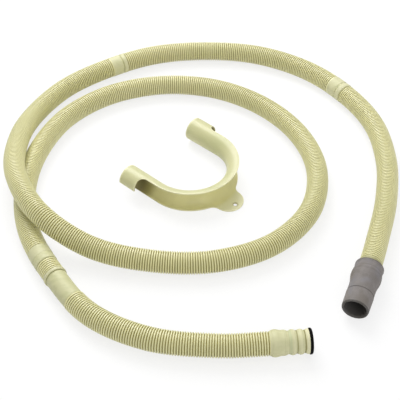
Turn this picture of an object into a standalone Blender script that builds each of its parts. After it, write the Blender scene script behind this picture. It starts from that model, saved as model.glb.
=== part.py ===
import bpy
import bmesh
from math import atan2, cos, pi, radians, sin, sqrt, tan
from mathutils import Euler, Matrix, Vector

# A corrugated drain hose lying in a loose loop on the floor, with the rubber connector for the waste
# pipe on one end, a moulded cuff with a seal ring on the other, and the U-shaped holder that carries
# the hose over the edge of a sink. Metres, +Z up, +X to the right and +Y away from the viewer.

# Fit between pieces
SEAT_GAP = 0.0003
HOLDER_CLEARANCE = 0.0004

# Hose
HOSE_DIAMETER = 0.0232
HOSE_WALL = 0.0012
HOSE_SIDES = 16
STEPS_PER_SPAN = 2
HOSE_ENTRY = 0.018
GUIDE_LENGTH = 0.040

# Rubber connector, from its collar to its mouth
CONNECTOR_PLACE = (0.1653, -0.1379)
CONNECTOR_HEADING = -111.4
CONNECTOR_LENGTH = 0.0555
COLLAR_LIP_RADIUS = 0.0147
COLLAR_NECK_RADIUS = 0.0144
BODY_RADIUS = 0.0153
BODY_PLACE = 0.0145
WAIST_RADIUS = 0.0134
WAIST_PLACE = 0.0260
SLEEVE_PLACE = 0.0368
SLEEVE_RADIUS = 0.0137
MOUTH_RADIUS = 0.0135
MOUTH_BORE_RADIUS = 0.0108
MOUTH_BORE_DEPTH = 0.0280
CONNECTOR_THROAT_RADIUS = 0.0098
EDGE_ROUND = 0.0006

# Moulded cuff on the machine end of the hose, from its start: share of its length and outer radius
CUFF_PLACE = (0.0615, -0.2290)
CUFF_HEADING = 4.5
CUFF_LENGTH = 0.0367
CUFF_PROFILE = (
    (0.000, 0.0116),
    (0.070, 0.0126),
    (0.130, 0.0130),
    (0.190, 0.0129),
    (0.280, 0.0121),
    (0.385, 0.0120),
    (0.475, 0.0110),
    (0.575, 0.0120),
    (0.690, 0.0110),
    (0.785, 0.0119),
    (0.890, 0.0110),
    (0.950, 0.0118),
    (1.000, 0.0118),
)

# Seal ring on the cuff
RING_THICKNESS = 0.0031
RING_RADIUS = 0.0124
RING_BORE_RADIUS = 0.0083
RING_SPIGOT_LENGTH = 0.0070

# Hose holder: a channel swept round a U, seen in its own frame with the arms pointing to -X
HOLDER_PLACE = (-0.0133, 0.0088)
HOLDER_TURN = -41.6
HOLDER_BEND_RADIUS = 0.0534
HOLDER_ARM_LENGTH = 0.0428
HOLDER_WALL = 0.0013
HOLDER_RIM_OFFSET = 0.0005
HOLDER_SIDES = 32
HOLDER_BEND_STEPS = 30
CLIP_LENGTH = 0.0220
CLIP_CORNER_RADIUS = 0.0083
CLIP_MOUTH_HEIGHT = 0.0130
LUG_RADIUS = 0.0165
LUG_OFFSET = 0.0024
LUG_FILLET_RADIUS = 0.0100
LUG_LIFT = 0.0002
LUG_HOLE_OFFSET = 0.0120
LUG_HOLE_DIAMETER = 0.0048

# Route of the hose centreline from the connector to the cuff
ROUTE = (
    (0.1775, -0.1020, 0.0145),
    (0.1955, -0.0405, 0.0122),
    (0.2045, 0.0235, 0.0117),
    (0.1980, 0.0880, 0.0116),
    (0.1700, 0.1450, 0.0116),
    (0.1270, 0.1915, 0.0116),
    (0.0700, 0.2215, 0.0116),
    (0.0070, 0.2300, 0.0116),
    (-0.0570, 0.2220, 0.0116),
    (-0.1145, 0.1945, 0.0116),
    (-0.1640, 0.1540, 0.0120),
    (-0.1960, 0.0990, 0.0141),
    (-0.2045, 0.0375, 0.0268),
    (-0.1975, -0.0230, 0.0350),
    (-0.1665, -0.0795, 0.0334),
    (-0.1135, -0.1115, 0.0175),
    (-0.0510, -0.1260, 0.0122),
    (0.0130, -0.1260, 0.0116),
    (0.0725, -0.1025, 0.0116),
    (0.1140, -0.0540, 0.0116),
    (0.1260, 0.0100, 0.0116),
    (0.1090, 0.0715, 0.0116),
    (0.0695, 0.1215, 0.0116),
    (0.0150, 0.1530, 0.0116),
    (-0.0480, 0.1600, 0.0116),
    (-0.1090, 0.1415, 0.0116),
    (-0.1565, 0.1000, 0.0116),
    (-0.1830, 0.0420, 0.0116),
    (-0.1905, -0.0215, 0.0116),
    (-0.1785, -0.0845, 0.0116),
    (-0.1485, -0.1410, 0.0116),
    (-0.1080, -0.1925, 0.0116),
    (-0.0510, -0.2220, 0.0116),
    (0.0120, -0.2305, 0.0119),
)

# Worked out from the sizes above
HOSE_RADIUS = HOSE_DIAMETER / 2
CONNECTOR_TILT = atan2(BODY_RADIUS - MOUTH_RADIUS, CONNECTOR_LENGTH - BODY_PLACE)
COLLAR_HEIGHT = BODY_RADIUS + BODY_PLACE * tan(CONNECTOR_TILT)
CUFF_HEIGHT = max(radius for share, radius in CUFF_PROFILE)
HOLDER_BORE_RADIUS = HOSE_RADIUS + HOLDER_CLEARANCE
HOLDER_RADIUS = HOLDER_BORE_RADIUS + HOLDER_WALL
LIP_RADIUS = HOLDER_BEND_RADIUS + HOLDER_RIM_OFFSET
CUT_MARGIN = 0.005


def clear_scene():
    for item in list(bpy.data.objects):
        bpy.data.objects.remove(item, do_unlink=True)
    for group in list(bpy.data.collections):
        bpy.data.collections.remove(group)


def make_collection(name):
    collection = bpy.data.collections.new(name)
    bpy.context.scene.collection.children.link(collection)
    return collection


def make_material(name, colour, roughness):
    material = bpy.data.materials.new(name)
    material.use_nodes = True
    shader = material.node_tree.nodes["Principled BSDF"]
    shader.inputs["Base Color"].default_value = (*colour, 1.0)
    shader.inputs["Roughness"].default_value = roughness
    shader.inputs["Metallic"].default_value = 0.0
    material.diffuse_color = (*colour, 1.0)
    return material


def add_object(name, mesh, collection, material=None):
    item = bpy.data.objects.new(name, mesh)
    collection.objects.link(item)
    if material is not None:
        mesh.materials.clear()
        mesh.materials.append(material)
    return item


def apply_modifiers(item):
    # The evaluated shape becomes the object's own mesh
    depsgraph = bpy.context.evaluated_depsgraph_get()
    mesh = bpy.data.meshes.new_from_object(item.evaluated_get(depsgraph))
    mesh.name = item.name
    old_mesh = item.data
    item.modifiers.clear()
    item.data = mesh
    bpy.data.meshes.remove(old_mesh)
    return item


def face_outward(mesh):
    bm = bmesh.new()
    bm.from_mesh(mesh)
    bmesh.ops.recalc_face_normals(bm, faces=bm.faces)
    bm.to_mesh(mesh)
    bm.free()


def shade_smooth(item, angle):
    item.data.shade_smooth()
    item.data.set_sharp_from_angle(angle=radians(angle))


# Heading along the floor, with a rise
def heading_vector(heading, rise=0.0):
    level = cos(rise)
    return Vector((level * cos(radians(heading)), level * sin(radians(heading)), sin(rise)))


# Catmull-Rom curve through the points, with a guide point before the first and one after the last
def smooth_route(points, steps, guide_in, guide_out):
    knots = [guide_in, *points, guide_out]
    line = []
    for before, start, end, after in zip(knots, knots[1:], knots[2:], knots[3:]):
        for step in range(steps):
            t = step / steps
            line.append(0.5 * (
                2.0 * start
                + (end - before) * t
                + (2.0 * before - 5.0 * start + 4.0 * end - after) * t ** 2
                + (3.0 * start - before - 3.0 * end + after) * t ** 3
            ))
    line.append(points[-1])
    return line


# A round tube shell along a line, with a radius at each point, given its wall by Solidify
def make_tube(name, line, radii, sides, wall, collection, material):
    curve = bpy.data.curves.new(name + "_line", "CURVE")
    curve.dimensions = "3D"
    curve.twist_mode = "Z_UP"
    curve.bevel_depth = 1.0
    curve.bevel_resolution = sides // 2 - 2
    curve.use_fill_caps = False
    spline = curve.splines.new("POLY")
    spline.points.add(len(line) - 1)
    for point, place, radius in zip(spline.points, line, radii):
        point.co = (*place, 1.0)
        point.radius = radius
    source = bpy.data.objects.new(name + "_line", curve)
    collection.objects.link(source)
    depsgraph = bpy.context.evaluated_depsgraph_get()
    mesh = bpy.data.meshes.new_from_object(source.evaluated_get(depsgraph))
    mesh.name = name
    bpy.data.objects.remove(source, do_unlink=True)
    bpy.data.curves.remove(curve)
    tube = add_object(name, mesh, collection, material)
    shell = tube.modifiers.new("wall", "SOLIDIFY")
    shell.thickness = wall
    shell.offset = -1.0
    shell.use_even_offset = True
    shell.use_rim = True
    apply_modifiers(tube)
    face_outward(tube.data)
    return tube


# A turned solid from a closed profile of (radius, distance along +Z), the axis being Z
def make_turned(name, profile, sides, collection, material):
    mesh = bpy.data.meshes.new(name)
    bm = bmesh.new()
    corners = [bm.verts.new((radius, 0.0, along)) for radius, along in profile]
    for corner, following in zip(corners, corners[1:] + corners[:1]):
        bm.edges.new((corner, following))
    bm.to_mesh(mesh)
    bm.free()
    item = add_object(name, mesh, collection, material)
    screw = item.modifiers.new("turn", "SCREW")
    screw.axis = "Z"
    screw.angle = 2.0 * pi
    screw.steps = sides
    screw.render_steps = sides
    screw.use_merge_vertices = True
    screw.merge_threshold = 0.00001
    apply_modifiers(item)
    face_outward(item.data)
    return item


# A flat plate of any outline between two heights
def make_plate(name, outline, bottom, top, collection):
    mesh = bpy.data.meshes.new(name)
    bm = bmesh.new()
    base = bm.faces.new([bm.verts.new((x, y, bottom)) for x, y in outline])
    raised = bmesh.ops.extrude_face_region(bm, geom=[base])
    lifted = [part for part in raised["geom"] if isinstance(part, bmesh.types.BMVert)]
    bmesh.ops.translate(bm, verts=lifted, vec=(0.0, 0.0, top - bottom))
    bmesh.ops.recalc_face_normals(bm, faces=bm.faces)
    bm.to_mesh(mesh)
    bm.free()
    return add_object(name, mesh, collection)


def make_drill(name, place, diameter, bottom, top, collection):
    mesh = bpy.data.meshes.new(name)
    bm = bmesh.new()
    bmesh.ops.create_cone(
        bm, cap_ends=True, segments=24, radius1=diameter / 2, radius2=diameter / 2, depth=top - bottom,
        matrix=Matrix.Translation((*place, (top + bottom) / 2)),
    )
    bm.to_mesh(mesh)
    bm.free()
    return add_object(name, mesh, collection)


def combine(item, tool, operation):
    boolean = item.modifiers.new(operation.lower(), "BOOLEAN")
    boolean.operation = operation
    boolean.solver = "EXACT"
    boolean.object = tool
    tool.hide_render = True
    tool.display_type = "WIRE"
    apply_modifiers(item)


def arc_points(centre, radius, start, end, steps):
    return [
        (
            centre[0] + radius * cos(start + (end - start) * step / steps),
            centre[1] + radius * sin(start + (end - start) * step / steps),
        )
        for step in range(steps + 1)
    ]


# Drain hose: one blow-moulded tube, with its machine cuff as part of it
def make_hose(collection, material):
    connector_way = heading_vector(CONNECTOR_HEADING, -CONNECTOR_TILT)
    collar = Vector((*CONNECTOR_PLACE, COLLAR_HEIGHT))
    cuff_way = heading_vector(CUFF_HEADING)
    cuff_start = Vector((*CUFF_PLACE, CUFF_HEIGHT))
    route = [collar, *[Vector(point) for point in ROUTE], cuff_start]
    guide_in = collar + connector_way * GUIDE_LENGTH
    guide_out = cuff_start + cuff_way * GUIDE_LENGTH
    line = [collar + connector_way * HOSE_ENTRY]
    line += smooth_route(route, STEPS_PER_SPAN, guide_in, guide_out)
    radii = [HOSE_RADIUS] * len(line)
    for share, radius in CUFF_PROFILE[1:]:
        line.append(cuff_start + cuff_way * CUFF_LENGTH * share)
        radii.append(radius)
    hose = make_tube("drain_hose", line, radii, HOSE_SIDES, HOSE_WALL, collection, material)
    shade_smooth(hose, 50)
    return hose


# Rubber connector: turned about its axis, hose side at the origin and mouth along +Z
def make_connector(collection, material):
    collar_bore = HOSE_RADIUS + SEAT_GAP
    shoulder = HOSE_ENTRY + SEAT_GAP
    mouth_bore_start = CONNECTOR_LENGTH - MOUTH_BORE_DEPTH
    outside = [
        (collar_bore, 0.0),
        (COLLAR_LIP_RADIUS - EDGE_ROUND, 0.0),
        (COLLAR_LIP_RADIUS, EDGE_ROUND),
        (COLLAR_LIP_RADIUS, 0.0020),
        (COLLAR_NECK_RADIUS, 0.0033),
        (COLLAR_NECK_RADIUS, 0.0050),
        (0.5 * (COLLAR_NECK_RADIUS + BODY_RADIUS), 0.5 * (0.0050 + BODY_PLACE)),
        (BODY_RADIUS - 0.0001, BODY_PLACE - 0.0020),
        (BODY_RADIUS, BODY_PLACE),
        (BODY_RADIUS - 0.0003, BODY_PLACE + 0.0025),
        (0.5 * (WAIST_RADIUS + BODY_RADIUS), 0.5 * (BODY_PLACE + WAIST_PLACE)),
        (WAIST_RADIUS, WAIST_PLACE),
        (WAIST_RADIUS, SLEEVE_PLACE),
        (SLEEVE_RADIUS, SLEEVE_PLACE + 0.0004),
        (MOUTH_RADIUS, CONNECTOR_LENGTH - EDGE_ROUND),
        (MOUTH_RADIUS - EDGE_ROUND, CONNECTOR_LENGTH),
    ]
    inside = [
        (MOUTH_BORE_RADIUS + EDGE_ROUND, CONNECTOR_LENGTH),
        (MOUTH_BORE_RADIUS, CONNECTOR_LENGTH - EDGE_ROUND),
        (MOUTH_BORE_RADIUS, mouth_bore_start),
        (CONNECTOR_THROAT_RADIUS, mouth_bore_start - 0.0015),
        (CONNECTOR_THROAT_RADIUS, shoulder),
        (collar_bore, shoulder),
    ]
    connector = make_turned("rubber_connector", outside + inside, 40, collection, material)
    connector.location = (*CONNECTOR_PLACE, COLLAR_HEIGHT)
    way = heading_vector(CONNECTOR_HEADING, -CONNECTOR_TILT)
    connector.rotation_euler = way.to_track_quat("Z", "Y").to_euler()
    shade_smooth(connector, 35)
    return connector


# Seal ring: a flange on the end of the cuff, with a spigot that seats in the cuff's narrowest groove
def make_seal_ring(collection, material):
    groove_radius = min(radius for share, radius in CUFF_PROFILE)
    spigot_radius = groove_radius - HOSE_WALL - SEAT_GAP
    profile = [
        (RING_BORE_RADIUS, -RING_SPIGOT_LENGTH),
        (spigot_radius - EDGE_ROUND, -RING_SPIGOT_LENGTH),
        (spigot_radius, EDGE_ROUND - RING_SPIGOT_LENGTH),
        (spigot_radius, SEAT_GAP),
        (RING_RADIUS - EDGE_ROUND, SEAT_GAP),
        (RING_RADIUS, SEAT_GAP + EDGE_ROUND),
        (RING_RADIUS, RING_THICKNESS - 2.0 * EDGE_ROUND),
        (RING_RADIUS - EDGE_ROUND, RING_THICKNESS),
        (RING_BORE_RADIUS + EDGE_ROUND, RING_THICKNESS),
        (RING_BORE_RADIUS, RING_THICKNESS - EDGE_ROUND),
    ]
    ring = make_turned("seal_ring", profile, 40, collection, material)
    way = heading_vector(CUFF_HEADING)
    ring.location = Vector((*CUFF_PLACE, CUFF_HEIGHT)) + way * CUFF_LENGTH
    ring.rotation_euler = way.to_track_quat("Z", "Y").to_euler()
    shade_smooth(ring, 35)
    return ring


# Plan outline of the screw lug: a round end that runs into the channel's lip through two fillets
def lug_outline():
    lug_place = HOLDER_BEND_RADIUS + LUG_OFFSET
    from_bend = LIP_RADIUS + LUG_FILLET_RADIUS
    from_lug = LUG_RADIUS + LUG_FILLET_RADIUS
    fillet_x = (from_bend ** 2 - from_lug ** 2 + lug_place ** 2) / (2.0 * lug_place)
    fillet_y = sqrt(from_bend ** 2 - fillet_x ** 2)
    lip_angle = atan2(fillet_y, fillet_x)
    lug_angle = atan2(fillet_y, fillet_x - lug_place)
    outline = arc_points((lug_place, 0.0), LUG_RADIUS, -lug_angle, lug_angle, 24)
    outline += arc_points((fillet_x, fillet_y), LUG_FILLET_RADIUS, lug_angle - pi, lip_angle - pi, 6)[1:]
    inner = LIP_RADIUS - 0.002
    outline += arc_points((0.0, 0.0), inner, lip_angle, -lip_angle, 16)
    outline += arc_points((fillet_x, -fillet_y), LUG_FILLET_RADIUS, pi - lip_angle, pi - lug_angle, 6)[:-1]
    return outline


# Plan outline of what the open side takes away: all outside the lip, from the clips on
def open_side_outline():
    clip_end = CLIP_LENGTH - HOLDER_ARM_LENGTH
    far = HOLDER_BEND_RADIUS + HOLDER_RADIUS + CUT_MARGIN
    corner = (clip_end + CLIP_CORNER_RADIUS, LIP_RADIUS + CLIP_CORNER_RADIUS)
    right = arc_points((corner[0], -corner[1]), CLIP_CORNER_RADIUS, pi, pi / 2, 8)
    left = arc_points(corner, CLIP_CORNER_RADIUS, -pi / 2, -pi, 8)
    bend = arc_points((0.0, 0.0), LIP_RADIUS, -pi / 2, pi / 2, 2 * HOLDER_BEND_STEPS)
    border = [(clip_end, far), (far, far), (far, -far), (clip_end, -far)]
    return right + bend + left + border


# Hose holder: a pipe swept round the U, cut open along its outer side but for the clips at its tips
def make_holder(collection, cutters, material):
    centre = HOLDER_RADIUS
    bend = arc_points((0.0, 0.0), HOLDER_BEND_RADIUS, -pi / 2, pi / 2, HOLDER_BEND_STEPS)
    path = [(-HOLDER_ARM_LENGTH, -HOLDER_BEND_RADIUS), *bend, (-HOLDER_ARM_LENGTH, HOLDER_BEND_RADIUS)]
    line = [Vector((x, y, centre)) for x, y in path]
    radii = [HOLDER_RADIUS] * len(line)
    holder = make_tube("hose_holder", line, radii, HOLDER_SIDES, HOLDER_WALL, collection, material)
    top = 2.0 * HOLDER_RADIUS + CUT_MARGIN
    opening = make_plate("holder_open_side", open_side_outline(), -CUT_MARGIN, top, cutters)
    combine(holder, opening, "DIFFERENCE")
    clip_start = -HOLDER_ARM_LENGTH - CUT_MARGIN
    clip_end = CLIP_LENGTH - HOLDER_ARM_LENGTH + CUT_MARGIN
    far = HOLDER_BEND_RADIUS + HOLDER_RADIUS + CUT_MARGIN
    for side, name in ((-1.0, "near"), (1.0, "far")):
        mouth = [
            (clip_start, side * LIP_RADIUS),
            (clip_end, side * LIP_RADIUS),
            (clip_end, side * far),
            (clip_start, side * far),
        ]
        tool = make_plate("clip_mouth_" + name, mouth, -CUT_MARGIN, CLIP_MOUTH_HEIGHT, cutters)
        combine(holder, tool, "DIFFERENCE")
    lug_top = LUG_LIFT + HOLDER_WALL
    lug = make_plate("holder_lug", lug_outline(), LUG_LIFT, lug_top, cutters)
    combine(holder, lug, "UNION")
    hole_place = (HOLDER_BEND_RADIUS + LUG_HOLE_OFFSET, 0.0)
    drill = make_drill("lug_hole", hole_place, LUG_HOLE_DIAMETER, -CUT_MARGIN, lug_top + CUT_MARGIN, cutters)
    combine(holder, drill, "DIFFERENCE")
    holder.location = (*HOLDER_PLACE, 0.0)
    holder.rotation_euler = Euler((0.0, 0.0, radians(HOLDER_TURN)))
    shade_smooth(holder, 35)
    return holder


def build():
    clear_scene()
    collection = make_collection("dishwasher_drain_hose")
    cutters = make_collection("cutters")
    hose_plastic = make_material("hose_plastic", (0.68, 0.65, 0.37), 0.45)
    holder_plastic = make_material("holder_plastic", (0.72, 0.70, 0.42), 0.40)
    grey_rubber = make_material("grey_rubber", (0.26, 0.25, 0.24), 0.75)
    black_rubber = make_material("black_rubber", (0.012, 0.012, 0.011), 0.60)
    make_hose(collection, hose_plastic)
    make_connector(collection, grey_rubber)
    make_seal_ring(collection, black_rubber)
    make_holder(collection, cutters, holder_plastic)
    bpy.context.view_layer.update()


build()
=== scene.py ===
from math import acos, atan2, cos, pi, radians, sin, sqrt, tan

import bmesh
import bpy
import numpy as np
from mathutils import Euler, Matrix, Vector


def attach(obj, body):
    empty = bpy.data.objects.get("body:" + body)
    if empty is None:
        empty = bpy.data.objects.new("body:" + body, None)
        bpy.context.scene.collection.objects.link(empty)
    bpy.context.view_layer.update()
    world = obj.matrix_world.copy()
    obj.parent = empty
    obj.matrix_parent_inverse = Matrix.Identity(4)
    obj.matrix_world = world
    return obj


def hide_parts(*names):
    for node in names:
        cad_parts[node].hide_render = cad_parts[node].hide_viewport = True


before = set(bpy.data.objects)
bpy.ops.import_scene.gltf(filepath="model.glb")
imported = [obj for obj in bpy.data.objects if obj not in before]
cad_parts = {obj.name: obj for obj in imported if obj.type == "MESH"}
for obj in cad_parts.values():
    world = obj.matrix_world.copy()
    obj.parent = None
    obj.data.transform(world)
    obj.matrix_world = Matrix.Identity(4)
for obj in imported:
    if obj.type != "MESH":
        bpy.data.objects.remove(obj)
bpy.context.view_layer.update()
print("frame loaded:", sorted(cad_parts))

# A corrugated drain hose lying in a loose loop, with its rubber connector, its seal ring and the
# U-shaped holder. Metres, +Z up, the camera looks along +Y.


# Camera: the photo's view, worked out from the hose's own thickness over the picture
camera = {
    "place": (-0.0023, -0.7678, 0.7282),
    "downwardTilt": 44.5,
    "lens": 86.4,
    "sensor": 36.0,
    "nearClip": 0.05,
    "farClip": 50.0,
}


def makeCamera(v):
    data = bpy.data.cameras.new("studioCamera")
    data.lens = v["lens"]
    data.sensor_width = v["sensor"]
    data.clip_start = v["nearClip"]
    data.clip_end = v["farClip"]
    item = bpy.data.objects.new("studioCamera", data)
    item.location = v["place"]
    item.rotation_euler = (radians(90.0 - v["downwardTilt"]), 0.0, 0.0)
    bpy.context.scene.collection.objects.link(item)
    bpy.context.scene.camera = item


makeCamera(camera)


# Node helpers: a wire is one socket, and sums on wires add Math nodes. Both kinds of tree use them
class Wire:
    def __init__(self, graph, socket):
        self.graph = graph
        self.socket = socket

    def maths(self, operation, *values):
        return self.graph.add("ShaderNodeMath", {"operation": operation}, dict(enumerate(values)))

    def __add__(self, other):
        return self.maths("ADD", self, other)

    def __radd__(self, other):
        return self.maths("ADD", other, self)

    def __sub__(self, other):
        return self.maths("SUBTRACT", self, other)

    def __rsub__(self, other):
        return self.maths("SUBTRACT", other, self)

    def __mul__(self, other):
        return self.maths("MULTIPLY", self, other)

    def __rmul__(self, other):
        return self.maths("MULTIPLY", other, self)

    def __truediv__(self, other):
        return self.maths("DIVIDE", self, other)

    def __mod__(self, other):
        return self.maths("FLOORED_MODULO", self, other)

    def __abs__(self):
        return self.maths("ABSOLUTE", self)


class Graph:
    def __init__(self, tree):
        self.tree = tree

    # Any node: its settings go in first, then the values or wires of its inputs
    def add(self, kind, settings=None, values=None, output=0):
        node = self.tree.nodes.new(kind)
        for name, value in (settings or {}).items():
            setattr(node, name, value)
        for key, value in (values or {}).items():
            if isinstance(value, Wire):
                self.tree.links.new(value.socket, node.inputs[key])
            else:
                node.inputs[key].default_value = value
        return Wire(self, node.outputs[output])

    def mix(self, factor, first, second):
        values = {0: factor, 6: colour(first), 7: colour(second)}
        return self.add("ShaderNodeMix", {"data_type": "RGBA"}, values, 2)

    # 0 below low, 1 above high, eased between them
    def ease(self, value, low, high):
        values = {"Value": value, "From Min": low, "From Max": high}
        return self.add("ShaderNodeMapRange", {"interpolation_type": "SMOOTHSTEP"}, values)

    def noise(self, place, scale, detail, roughness):
        values = {"Vector": place, "Scale": scale, "Detail": detail, "Roughness": roughness}
        return self.add("ShaderNodeTexNoise", {}, values)

    def stretched(self, place, scale):
        return self.add("ShaderNodeMapping", {}, {"Vector": place, "Scale": scale})

    def onObject(self):
        return self.add("ShaderNodeTexCoord", {}, {}, "Object")

    def attribute(self, name, output="Fac"):
        return self.add("ShaderNodeAttribute", {"attribute_name": name}, {}, output)

    # How far a place lies along a way from start, as a share of length
    def shareAlong(self, place, start, way, length):
        offset = self.add("ShaderNodeVectorMath", {"operation": "SUBTRACT"}, {0: place, 1: start})
        along = self.add("ShaderNodeVectorMath", {"operation": "DOT_PRODUCT"}, {0: offset, 1: way}, 1)
        return along / length

    def bump(self, height, distance, strength):
        values = {"Height": height, "Distance": distance, "Strength": strength}
        return self.add("ShaderNodeBump", {}, values)


def colour(value):
    return value if isinstance(value, Wire) or len(value) == 4 else (*value, 1.0)


def newMaterial(name, v):
    material = bpy.data.materials.new(name)
    material.use_nodes = True
    shader = material.node_tree.nodes["Principled BSDF"]
    shader.inputs["Specular IOR Level"].default_value = v["specular"]
    return material, Graph(material.node_tree), shader


def wireUp(graph, shader, **wires):
    names = {"base": "Base Color", "roughness": "Roughness", "normal": "Normal"}
    for key, wire in wires.items():
        graph.tree.links.new(wire.socket, shader.inputs[names[key]])


# Hose plastic: pale ribs, grooves painted darker as shade, a parting line on both sides and light handling
# marks
hosePlastic = {
    "crest": (0.832, 0.803, 0.449),
    "tint": (0.740, 0.735, 0.390),
    # painted shade: the grooves take this darker colour
    "groove": (0.340, 0.288, 0.070),
    "seam": (0.86, 0.84, 0.60),
    "scuff": (0.80, 0.78, 0.58),
    # colours of the plain stretches and of the bands round the cuff, the darkest of them painted shade in
    # creases
    "smooth": (0.660, 0.650, 0.370),
    "smoothTint": (0.600, 0.600, 0.320),
    "pale": (0.730, 0.710, 0.440),
    "cream": (0.820, 0.790, 0.500),
    "green": (0.540, 0.590, 0.350),
    "creaseShade": (0.240, 0.215, 0.060),
    # scale, detail and roughness of each noise, and how two of them are drawn out
    "clouds": (22.0, 4.0, 0.50),
    "grain": (1400.0, 2.0, 0.50),
    "scuffs": (2.0, 5.0, 0.65),
    "scuffStretch": (60.0, 260.0, 60.0),
    "streaks": (1.3, 4.0, 0.60),
    "streakStretch": (90.0, 220.0, 90.0),
    # where each mark starts and where it is full
    "cloudRange": (0.35, 0.75),
    "scuffRange": (0.60, 0.72),
    "streakRange": (0.40, 0.66),
    "seamRange": (0.02, 0.07),
    "grooveRange": (0.15, 1.00),
    "cuffInRange": (-0.02, 0.00),
    "cuffOutRange": (1.05, 1.10),
    "creamRange": (0.90, 0.94),
    # how strong each mark is
    "tintStrength": 0.35,
    "seamStrength": 0.10,
    "scuffStrength": 0.18,
    "streakStrength": 0.40,
    "creamStrength": 0.28,
    "roughness": 0.40,
    "cloudRoughness": 0.14,
    "scuffRoughness": 0.12,
    "plainRoughness": 0.14,
    "specular": 0.60,
    # what the bump is made of
    "grainHeight": 0.35,
    "cloudHeight": 0.40,
    "seamHeight": 0.50,
    "bumpDepth": 0.00008,
    "bumpStrength": 0.60,
    # share of the cuff's length, half width, strength and colour of each band round it: the dark ones are
    # painted shade in its creases, the pale and cream ones painted highlights on its swellings
    "bands": (
        (0.370, 0.014, 0.15, "creaseShade"), (0.448, 0.022, 0.45, "pale"), (0.515, 0.050, 0.55, "green"),
        (0.478, 0.012, 0.30, "creaseShade"), (0.612, 0.045, 0.45, "cream"), (0.688, 0.026, 0.78, "creaseShade"),
        (0.780, 0.050, 0.50, "cream"), (0.890, 0.026, 0.95, "creaseShade"),
    ),
    "bandCore": 0.25,  # each band is full over this share of its half width
}


def makeHosePlastic(v):
    material, graph, shader = newMaterial("corrugated hose plastic", v)
    place = graph.onObject()
    depth = graph.attribute("grooveDepth")
    ribbed = graph.attribute("ribbed")
    pale = graph.attribute("paleOrShade")
    side = graph.add("ShaderNodeSeparateXYZ", {}, {0: graph.attribute("aroundHose", "Vector")}, 1)
    seam = 1.0 - graph.ease(abs(side), *v["seamRange"])
    clouds = graph.noise(place, *v["clouds"])
    grain = graph.noise(place, *v["grain"])
    scuffs = graph.noise(graph.stretched(place, v["scuffStretch"]), *v["scuffs"])
    scuffed = graph.ease(scuffs, *v["scuffRange"]) * (1.0 - depth)
    base = graph.mix(graph.ease(clouds, *v["cloudRange"]) * v["tintStrength"], v["crest"], v["tint"])
    # Plain stretches are greener or pale as their row says, and below zero painted dark, as shade
    streaks = graph.noise(graph.stretched(place, v["streakStretch"]), *v["streaks"])
    streaked = graph.ease(streaks, *v["streakRange"])
    smooth = graph.mix(streaked, v["smooth"], v["smoothTint"])
    smooth = graph.mix(pale * (1.0 - v["streakStrength"] * streaked), smooth, v["pale"])
    smooth = graph.mix(0.0 - pale, smooth, v["creaseShade"])
    # The cuff is creamier, with a cream end, painted shade in its creases, a green band, and pale and
    # cream bands round its swellings painted as highlights
    share = graph.shareAlong(place, cuffStart, cuffWay, cuff["length"])
    onCuff = graph.ease(share, *v["cuffInRange"]) * (1.0 - graph.ease(share, *v["cuffOutRange"]))
    creamy = v["creamStrength"] + (1.0 - v["creamStrength"]) * graph.ease(share, *v["creamRange"])
    smooth = graph.mix(creamy * onCuff, smooth, v["cream"])
    for spot, width, strength, tone in v["bands"]:
        band = (1.0 - graph.ease(abs(share - spot), v["bandCore"] * width, width)) * onCuff
        smooth = graph.mix(band * strength, smooth, v[tone])
    base = graph.mix(1.0 - ribbed, base, smooth)
    base = graph.mix(seam * v["seamStrength"], base, v["seam"])
    base = graph.mix(scuffed * v["scuffStrength"], base, v["scuff"])
    # Painted shade in the grooves
    base = graph.mix(graph.ease(depth, *v["grooveRange"]), base, v["groove"])
    rough = v["roughness"] + (clouds - 0.5) * v["cloudRoughness"] + scuffed * v["scuffRoughness"]
    rough = rough + (1.0 - ribbed) * v["plainRoughness"]
    height = grain * v["grainHeight"] + clouds * v["cloudHeight"] + seam * v["seamHeight"]
    normal = graph.bump(height, v["bumpDepth"], v["bumpStrength"])
    wireUp(graph, shader, base=base, roughness=rough, normal=normal)
    return material


# Holder plastic: the same moulding stock, smoother, with faint flow lines
holderPlastic = {
    "base": (0.682, 0.668, 0.375),
    "tint": (0.625, 0.617, 0.315),
    "flowTint": (0.80, 0.79, 0.56),
    "green": (0.560, 0.590, 0.300),
    # painted bounce light inside the channel
    "inner": (0.850, 0.805, 0.410),
    "stain": (0.600, 0.560, 0.235),
    # painted highlight on the cut edges and the lug
    "edge": (0.940, 0.910, 0.600),
    # painted shade in the clips and the hole
    "paintedShade": (0.380, 0.335, 0.105),
    "darkestShade": (0.190, 0.165, 0.052),
    # scale, detail and roughness of each noise, and how the flow lines are drawn out
    "clouds": (18.0, 4.0, 0.50),
    "warp": (9.0, 2.0, 0.50),
    "flow": (1.6, 5.0, 0.60),
    "flowStretch": (40.0, 12.0, 90.0),
    "grain": (1100.0, 2.0, 0.50),
    "stains": (34.0, 2.0, 0.45),
    # where each mark starts and where it is full
    "cloudRange": (0.30, 0.75),
    "flowRange": (0.52, 0.72),
    "greenRange": (0.48, 0.66),
    "stainRange": (0.34, 0.54),
    "deepRange": (0.00, 0.60),
    "deepestRange": (0.35, 1.00),
    # how strong each mark is
    "tintStrength": 0.50,
    "flowStrength": 0.22,
    "greenStrength": 0.30,
    "stainStrength": 0.35,
    "edgeStrength": 0.80,
    "deepClouds": 0.25,
    "roughness": 0.36,
    "flowRoughness": 0.16,
    "deepRoughness": 0.35,
    "specular": 0.50,
    # what the bump is made of
    "grainHeight": 0.25,
    "flowHeight": 0.70,
    "bumpDepth": 0.0001,
    "bumpStrength": 0.50,
}


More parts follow.
